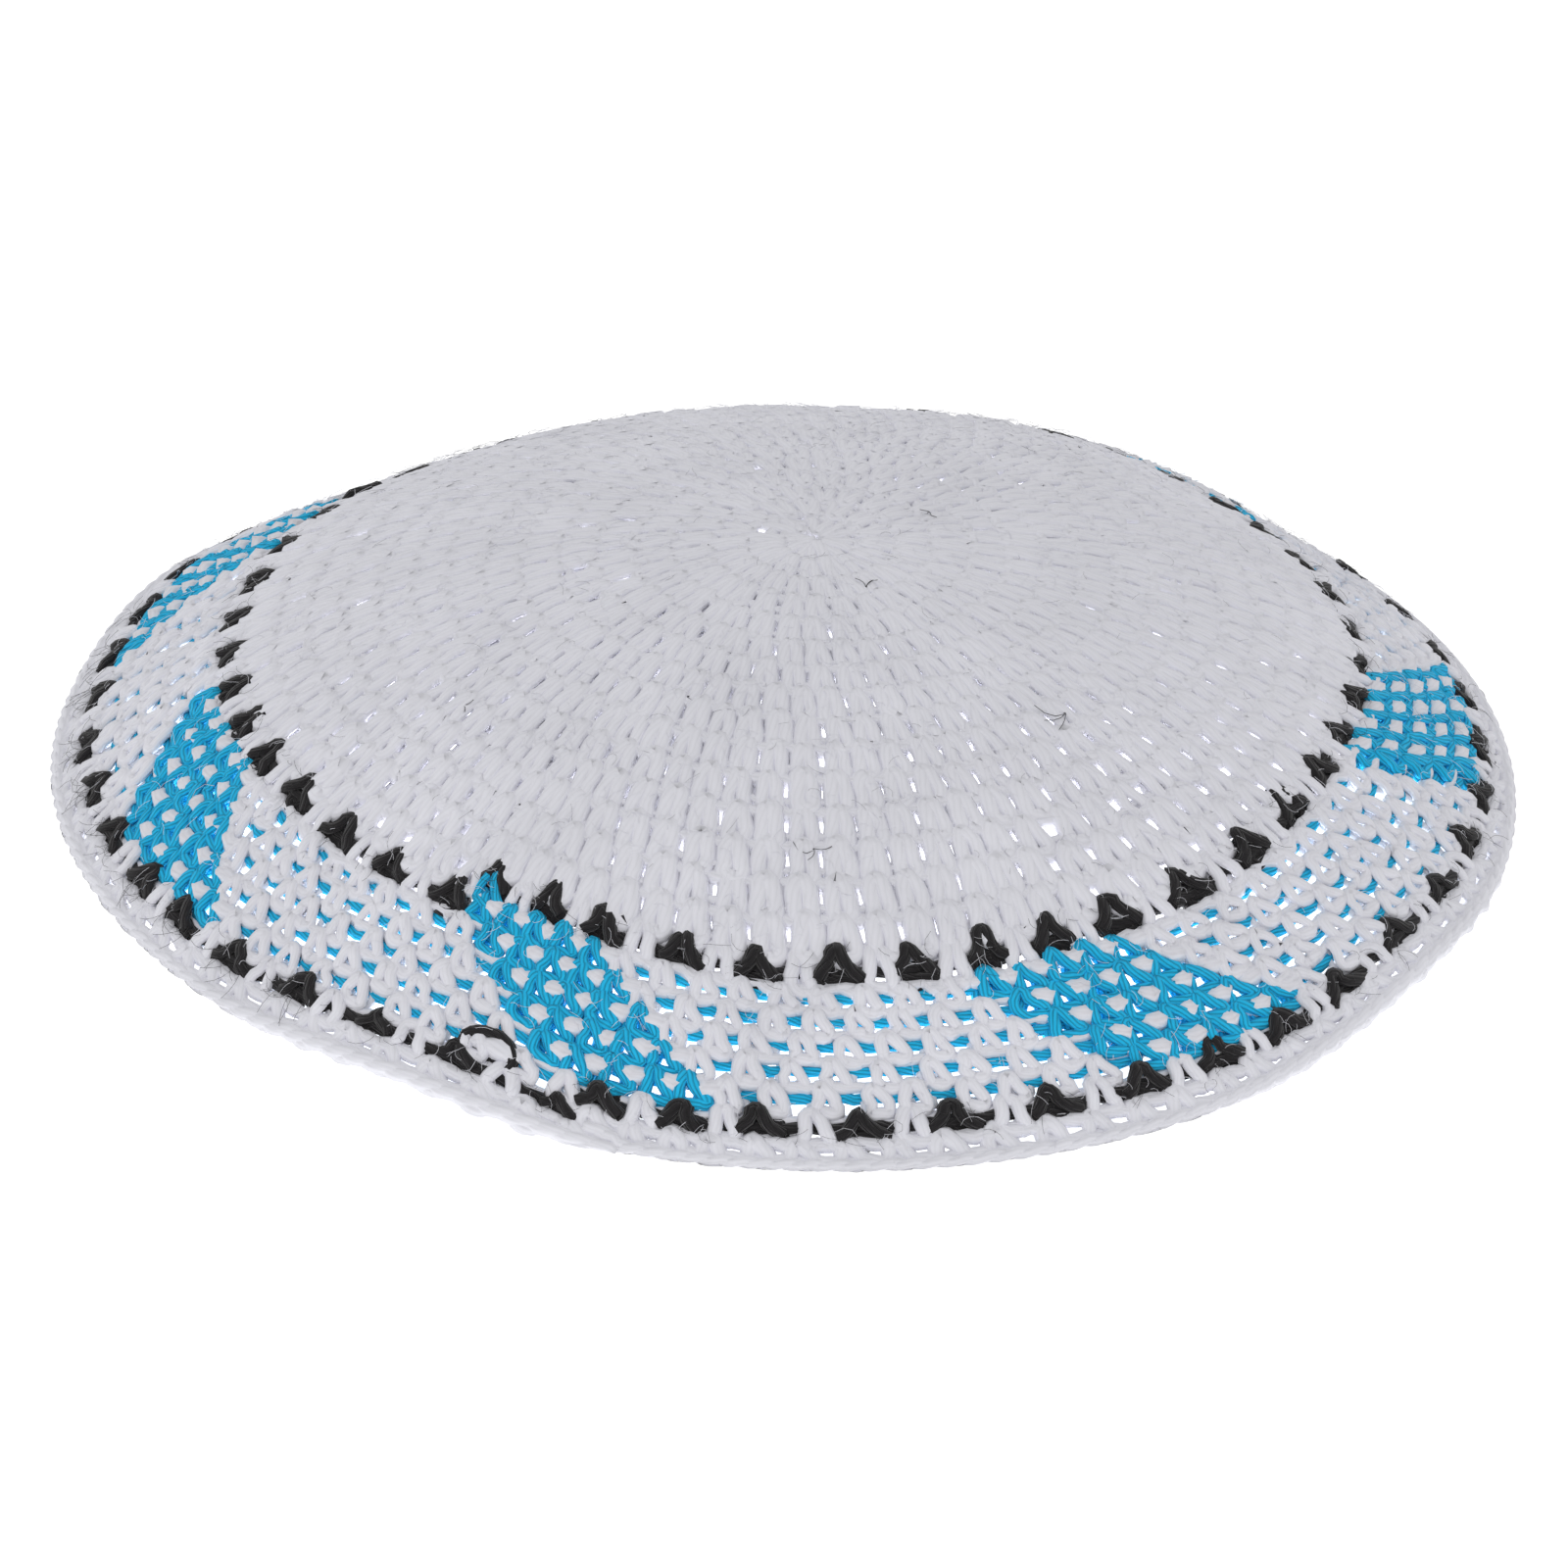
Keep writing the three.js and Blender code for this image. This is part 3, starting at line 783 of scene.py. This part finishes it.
def settings():
    """The cap's settings."""
    return bpy.context.scene.skullcap


def white_yarn():
    """Ground yarn: fine plies that hardly show, with faint painted shade in their grooves, slightly fuzzy."""
    return yarn_material("white yarn", np.array(settings().white), WHITE_FINISH)


def blue_yarn():
    """Block yarn: smooth plies with clear painted shade in their grooves."""
    return yarn_material("blue yarn", np.array(settings().blue), BLUE_FINISH)


def black_yarn():
    """Dash yarn: streaked plies with painted shade in their grooves, nearly black."""
    return yarn_material("black yarn", np.array(settings().black), BLACK_FINISH)


def round_stitches(line, wanted):
    """Columns and lines of the stitches of a border round that are wanted."""
    columns = np.arange(STITCHES)[wanted]
    return columns.astype(float), np.full(len(columns), float(line))


class SKULLCAP_OT_crown(bpy.types.Operator):
    """White rounds from the crown's centre to the inner dashed round"""

    bl_idname = "skullcap.crown"
    bl_label = "Crown rounds"

    def execute(self, context):
        rng = np.random.default_rng(settings().seed)
        for name, first, last, nodes in CROWN_PIECES:
            numbers = np.arange(first, last + 1)
            rounds = np.repeat(numbers, crown_count(numbers))
            index = np.concatenate([np.arange(crown_count(k)) for k in numbers]).astype(float)
            share = np.interp(rounds, CROWN_THICK_ROUNDS, CROWN_THICK_SHARE)[:, None]
            skein = Skein()
            thick = settings().crown_radius * share
            add_stitches(skein, crown_place, index, rounds, CROWN_STITCH, thick, rng)
            for k in numbers:
                count = float(crown_count(k))
                head = CROWN_CLOSING if k <= CLOSED_ROUNDS else CROWN_HEAD
                add_carried(skein, crown_place, k, 0.0, count, CROWN_FOOT, rng)
                add_carried(skein, crown_place, k, 0.0, count, head, rng)
            settle(skein.piece(name, white_yarn()), "white_yarn", *nodes)
        return {"FINISHED"}


class SKULLCAP_OT_dashes(bpy.types.Operator):
    """Two rounds that alternate black and white stitches"""

    bl_idname = "skullcap.dashes"
    bl_label = "Dashed rounds"

    def execute(self, context):
        rng = np.random.default_rng(settings().seed + 1)
        black, white = Skein(), Skein()
        columns = np.arange(STITCHES)
        odd = columns % 2 == 1
        dark, plain = settings().black_radius, settings().border_radius * PLAIN_THICK
        for line in (INNER_DASH, OUTER_DASH):
            small = odd & (columns > LAST_DASHES_FROM) & (line == OUTER_DASH)
            add_stitches(black, border_place, *round_stitches(line, odd & ~small), DASH_STITCH, dark, rng)
            add_stitches(black, border_place, *round_stitches(line, small), LAST_DASH_STITCH,
                         dark * LAST_DASH_THICK, rng)
            add_stitches(white, border_place, *round_stitches(line, ~odd), PLAIN_STITCH, plain, rng)
            add_carried(black, border_place, line, 0, STITCHES, DASH_BLACK, rng)
            add_carried(white, border_place, line, 0, STITCHES, DASH_WHITE, rng)
            add_carried(white, border_place, line, 0, STITCHES, DASH_CHAIN, rng)
        add_stitches(black, border_place, np.full(1, START_COLUMN), np.full(1, float(OUTER_DASH)),
                     START_STITCH, START_RADIUS, rng)
        add_carried(white, border_place, float(OUTER_DASH), *START_WHITE_SPAN, START_WHITE, rng)
        settle(black.piece("dash_black_stitches", black_yarn()), "black_yarn",
               "inner_dash_round", "outer_dash_round")
        settle(white.piece("dash_white_stitches", white_yarn()), "white_yarn")
        return {"FINISHED"}


class SKULLCAP_OT_blocks(bpy.types.Operator):
    """Slanted blue blocks, with the white yarn carried inside their stitches"""

    bl_idname = "skullcap.blocks"
    bl_label = "Blue blocks"

    def execute(self, context):
        rng = np.random.default_rng(settings().seed + 2)
        blue, white = Skein(), Skein()
        chosen = in_block(np.arange(STITCHES))
        for line in BLOCK_LINES:
            add_stitches(blue, border_place, *round_stitches(line, chosen), BLUE_STITCH,
                         settings().blue_radius, rng)
            for start, count, _, _ in BLOCKS:
                add_carried(white, border_place, line, start, start + count, BLOCK_WHITE, rng)
        add_stitches(blue, border_place, np.zeros(1), np.full(1, float(BLOCK_LINES[0])), LOOSE_BLUE_STITCH,
                     LOOSE_BLUE_RADIUS, rng)
        nodes = [f"blue_block_{i + 1}" for i in range(len(BLOCKS))]
        settle(blue.piece("blue_stitches", blue_yarn()), "blue_yarn", *nodes)
        settle(white.piece("white_carried_yarn", white_yarn()), "white_yarn")
        return {"FINISHED"}


class SKULLCAP_OT_fields(bpy.types.Operator):
    """White stitches between the blocks, with the blue yarn carried inside them"""

    bl_idname = "skullcap.fields"
    bl_label = "White fields"

    def execute(self, context):
        rng = np.random.default_rng(settings().seed + 3)
        blue, white = Skein(), Skein()
        chosen = ~in_block(np.arange(STITCHES))
        ends = [c for c, _, _, _ in BLOCKS[1:]] + [STITCHES]
        for line in BLOCK_LINES:
            columns, lines = round_stitches(line, chosen)
            from_loosest = np.radians(column_angle(columns) + ROUND_LEAN * (line - 2) - FIELD_LOOSE_ANGLE)
            tight = 1 + FIELD_TIGHT * (1 - np.cos(from_loosest))
            add_stitches(white, border_place, columns, lines, FIELD_STITCH,
                         settings().border_radius * tight[:, None], rng)
            for (start, count, _, _), end in zip(BLOCKS, ends):
                add_carried(blue, border_place, line, start + count, end, FIELD_BLUE, rng)
                add_carried(white, border_place, line, start + count, end, FIELD_WHITE, rng)
        nodes = [f"white_field_{i + 1}" for i in range(len(BLOCKS))]
        settle(white.piece("white_stitches", white_yarn()), "white_yarn", *nodes)
        settle(blue.piece("blue_carried_yarn", blue_yarn()), "blue_yarn")
        return {"FINISHED"}


class SKULLCAP_OT_edge(bpy.types.Operator):
    """Last white round and the rope of its top loops along the rim"""

    bl_idname = "skullcap.edge"
    bl_label = "Edge round"

    def execute(self, context):
        rng = np.random.default_rng(settings().seed + 4)
        skein = Skein()
        every = np.ones(STITCHES, bool)
        add_stitches(skein, border_place, *round_stitches(EDGE_LINE, every), EDGE_STITCH,
                     settings().border_radius * EDGE_THICK, rng)
        add_carried(skein, border_place, EDGE_LINE, 0, STITCHES, EDGE_FOOT, rng)
        add_carried(skein, border_place, EDGE_LINE, 0, STITCHES, EDGE_HEAD, rng)
        u = np.linspace(0, STITCHES, STITCHES * ROPE_SAMPLES + 1)
        for phase in (0, np.pi):
            turn = 2 * np.pi * u + phase
            v = ROPE_PLACE + ROPE_PLACE_SWING * np.cos(turn)
            n = ROPE_HEIGHT + ROPE_HEIGHT_SWING * np.sin(turn)
            strand = np.stack([u, v, n], -1)
            path, up = border_place(np.zeros(1), np.full(1, float(EDGE_LINE)), strand[None])
            skein.add(path, up, ROPE_RADIUS, ROPE_SIDES, False)
        settle(skein.piece("edge_stitches", white_yarn()), "white_yarn", "edge_round")
        return {"FINISHED"}


class SKULLCAP_OT_fibres(bpy.types.Operator):
    """Loose fibres of the white and black yarn"""

    bl_idname = "skullcap.fibres"
    bl_label = "Loose fibres"

    def execute(self, context):
        rng = np.random.default_rng(settings().seed + 5)
        white, black = Skein(), Skein()
        s, degrees = chance_places(settings().fuzz, FUZZ_REACH, rng)
        scatter_fibres(white, s, degrees, WHITE_FUZZ, rng)
        for line in (INNER_DASH, OUTER_DASH):
            dash = np.repeat(np.arange(1, STITCHES, 2), DASH_FIBRES).astype(float)
            column = dash + rng.uniform(*DASH_ALONG, len(dash))
            s = line_arc(line - 1, column) + rng.uniform(*DASH_OUT, len(dash))
            degrees = column_angle(column) + ROUND_LEAN * (line - 2)
            scatter_fibres(black, s, degrees, DASH_FUZZ, rng)
            scatter_fibres(white, s, degrees, DASH_WHITE_FUZZ, rng, 2)
        dash = np.repeat(TUFT_DASHES, TUFT_FIBRES)
        column = dash + rng.uniform(*TUFT_ALONG, len(dash))
        s = line_arc(OUTER_DASH, column) - rng.uniform(*TUFT_IN, len(dash))
        scatter_fibres(black, s, column_angle(column) + ROUND_LEAN * (OUTER_DASH - 2), TUFT, rng)
        s, degrees = chance_places(CROWN_DARK_COUNT, CROWN_DARK_REACH, rng)
        scatter_fibres(black, s, degrees, CROWN_DARK, rng)
        for _ in range(STRAY_STRANDS):
            add_fibres(black, *STRAYS.T, STRAY_RADIUS, rng)
        settle(white.piece("white_loose_fibres", white_yarn()), "white_yarn")
        settle(black.piece("black_loose_fibres", black_yarn()), "black_yarn")
        return {"FINISHED"}


def look(place, back, roll):
    """Matrix of a light or camera at a place, whose own +Z points back and whose sides are level
    apart from a roll."""
    side = np.cross((0, 0, 1), back)
    side /= np.linalg.norm(side)
    rise = np.cross(back, side)
    right = math.cos(roll) * side + math.sin(roll) * rise
    up = -math.sin(roll) * side + math.cos(roll) * rise
    return Matrix((
        (right[0], up[0], back[0], place[0]),
        (right[1], up[1], back[1], place[1]),
        (right[2], up[2], back[2], place[2]),
        (0, 0, 0, 1),
    ))


class SKULLCAP_OT_stage(bpy.types.Operator):
    """Pale floor, soft light and the camera"""

    bl_idname = "skullcap.stage"
    bl_label = "Stage"

    def execute(self, context):
        context.scene.view_settings.view_transform = "Standard"
        self.lay_floor(context.scene)
        self.set_lights(context.scene)
        self.aim_camera(context.scene)
        return {"FINISHED"}

    def lay_floor(self, scene):
        """A wide pale square that gives off light, so holes in the cap read bright."""
        half = FLOOR_HALF
        outline = ((-half, -half), (half, -half), (half, half), (-half, half))
        corners = [(x, y, FLOOR_LEVEL) for x, y in outline]
        mesh = bpy.data.meshes.new("floor")
        mesh.from_pydata(corners, [], [(0, 1, 2, 3)])
        floor = bpy.data.objects.new("floor", mesh)
        scene.collection.objects.link(floor)
        pale = bpy.data.materials.new("pale floor")
        pale.use_nodes = True
        shader = pale.node_tree.nodes["Principled BSDF"]
        shader.inputs["Base Color"].default_value = (FLOOR_GREY, FLOOR_GREY, FLOOR_GREY, 1)
        shader.inputs["Roughness"].default_value = 1.0
        shader.inputs["Specular IOR Level"].default_value = 0.0
        shader.inputs["Emission Color"].default_value = (1, 1, 1, 1)
        shader.inputs["Emission Strength"].default_value = 1.0
        mesh.materials.append(pale)

    def set_lights(self, scene):
        """An even sky, two soft lights and a disc of light under the cap."""
        world = scene.world or bpy.data.worlds.new("studio")
        scene.world = world
        world.use_nodes = True
        sky = world.node_tree.nodes["Background"]
        sky.inputs["Color"].default_value = (1, 1, 1, 1)
        sky.inputs["Strength"].default_value = SKY_STRENGTH
        for name, place, size, power in LIGHTS:
            lamp = bpy.data.lights.new(name, "AREA")
            lamp.size = size
            lamp.energy = power
            light = bpy.data.objects.new(name, lamp)
            light.matrix_world = look(np.array(place), np.array(place) / np.linalg.norm(place), 0.0)
            scene.collection.objects.link(light)

        glow = bpy.data.lights.new("inner", "AREA")
        glow.shape = "DISK"
        glow.size = INNER_LIGHT_SIZE
        glow.energy = INNER_LIGHT_POWER
        inner = bpy.data.objects.new("inner", glow)
        inner.matrix_world = Matrix.Translation((0, 0, INNER_LIGHT_HEIGHT)) @ Matrix.Rotation(math.pi, 4, "X")
        scene.collection.objects.link(inner)

    def aim_camera(self, scene):
        """The camera at the photograph's tilt, roll and distance."""
        tilt = math.radians(CAMERA_TILT)
        back = np.array([0.0, -math.cos(tilt), math.sin(tilt)])
        right = np.array([1.0, 0, 0])
        rise = np.array([0, math.sin(tilt), math.cos(tilt)])
        at = back * CAMERA_DISTANCE + right * CAMERA_RIGHT + rise * CAMERA_RISE + (0, 0, CAMERA_LIFT) - CENTRE
        data = bpy.data.cameras.new("camera")
        data.sensor_width = SENSOR_WIDTH
        data.lens = CAMERA_LENS * SENSOR_WIDTH
        data.clip_start, data.clip_end = 0.05, 60
        camera = bpy.data.objects.new("camera", data)
        camera.matrix_world = look(at * MM, back, math.radians(CAMERA_ROLL))
        scene.collection.objects.link(camera)
        scene.camera = camera


OPERATORS = (SKULLCAP_OT_crown, SKULLCAP_OT_dashes, SKULLCAP_OT_blocks, SKULLCAP_OT_fields, SKULLCAP_OT_edge,
             SKULLCAP_OT_fibres, SKULLCAP_OT_stage)


class SKULLCAP_PT_sidebar(bpy.types.Panel):
    """Settings and building steps of the cap"""

    bl_label = "Skullcap"
    bl_space_type = "VIEW_3D"
    bl_region_type = "UI"
    bl_category = "Skullcap"

    def draw(self, context):
        for name in SkullcapSettings.__annotations__:
            self.layout.prop(context.scene.skullcap, name)
        for operator in OPERATORS:
            self.layout.operator(operator.bl_idname)


CLASSES = (SkullcapSettings, *OPERATORS, SKULLCAP_PT_sidebar)


def register():
    for cls in CLASSES:
        bpy.utils.register_class(cls)
    bpy.types.Scene.skullcap = PointerProperty(type=SkullcapSettings)


def unregister():
    del bpy.types.Scene.skullcap
    for cls in reversed(CLASSES):
        bpy.utils.unregister_class(cls)


def main():
    """Builds every piece and the stage."""
    register()
    bpy.ops.skullcap.crown()
    bpy.ops.skullcap.dashes()
    bpy.ops.skullcap.blocks()
    bpy.ops.skullcap.fields()
    bpy.ops.skullcap.edge()
    bpy.ops.skullcap.fibres()
    bpy.ops.skullcap.stage()


if __name__ == "__main__":
    main()
